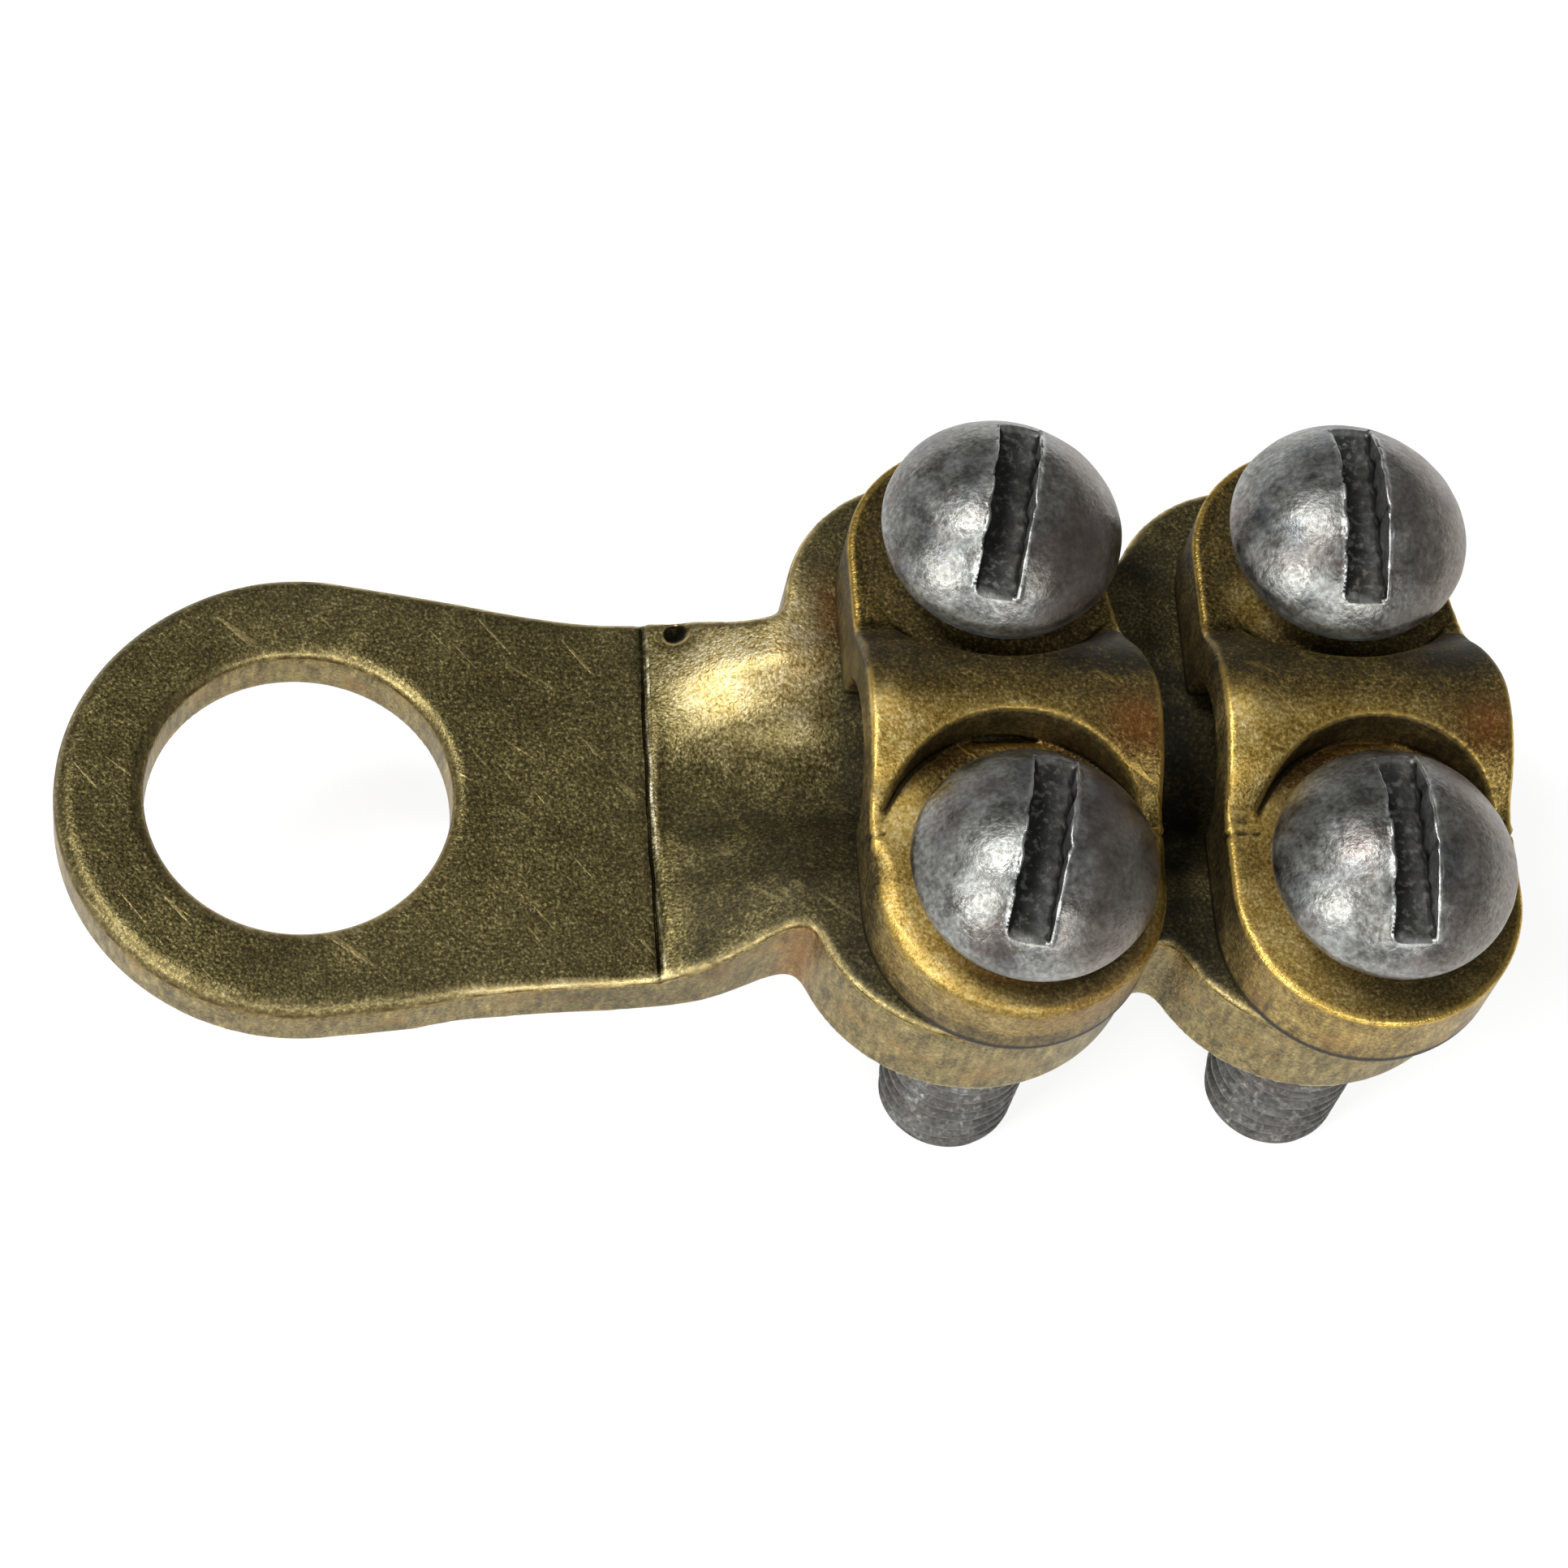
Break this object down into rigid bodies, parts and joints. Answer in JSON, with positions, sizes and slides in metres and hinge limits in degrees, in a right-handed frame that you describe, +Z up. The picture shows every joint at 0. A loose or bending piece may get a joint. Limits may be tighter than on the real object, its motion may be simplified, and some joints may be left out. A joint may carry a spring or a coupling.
{
  "type": "cable lug",
  "caption": "Brass cable lug: a flat ring palm for a stud, and a trough in which screwed saddles clamp the bare cable.",
  "frame": {"origin": "centre of the stud hole on the underside of the palm", "axes": "+X from the stud hole towards the cable end, +Z up along the stud and the clamp screws towards the screw heads"},
  "size_m": [0.0491, 0.0226, 0.0215],
  "materials": {
    "lug_brass": "tarnished satin",
    "saddle_brass": "tarnished satin, bright edges",
    "screw_steel": "dull grey, worn"
  },
  "bodies": {
    "lug": {"lug_body": "lug_brass"},
    "inner_clamp": {"inner_saddle": "saddle_brass"},
    "inner_near": {"inner_near_screw": "screw_steel"},
    "inner_far": {"inner_far_screw": "screw_steel"},
    "outer_clamp": {"outer_saddle": "saddle_brass"},
    "outer_near": {"outer_near_screw": "screw_steel"},
    "outer_far": {"outer_far_screw": "screw_steel"}
  },
  "joints": [
    {"name": "inner_saddle_lift", "type": "slide", "parent": "lug", "child": "inner_clamp", "axis": [0, 0, 1], "range_m": [0, 0.0096]},
    {"name": "inner_near_turn", "type": "hinge", "parent": "inner_clamp", "child": "inner_near", "pos_m": [0.02365, -0.00635, 0.005], "axis": [0, 0, 1], "range_deg": [0, 4320]},
    {"name": "inner_far_turn", "type": "hinge", "parent": "inner_clamp", "child": "inner_far", "pos_m": [0.02365, 0.00635, 0.005], "axis": [0, 0, 1], "range_deg": [0, 4320]},
    {"name": "outer_saddle_lift", "type": "slide", "parent": "lug", "child": "outer_clamp", "axis": [0, 0, 1], "range_m": [0, 0.0096]},
    {"name": "outer_near_turn", "type": "hinge", "parent": "outer_clamp", "child": "outer_near", "pos_m": [0.0358, -0.00635, 0.005], "axis": [0, 0, 1], "range_deg": [0, 4320]},
    {"name": "outer_far_turn", "type": "hinge", "parent": "outer_clamp", "child": "outer_far", "pos_m": [0.0358, 0.00635, 0.005], "axis": [0, 0, 1], "range_deg": [0, 4320]}
  ],
  "couplings": [
    {"joint": "inner_near_turn", "follows": "inner_saddle_lift", "rad_per_m": 7853.9},
    {"joint": "inner_far_turn", "follows": "inner_saddle_lift", "rad_per_m": 7853.9},
    {"joint": "outer_near_turn", "follows": "outer_saddle_lift", "rad_per_m": 7853.9},
    {"joint": "outer_far_turn", "follows": "outer_saddle_lift", "rad_per_m": 7853.9}
  ]
}
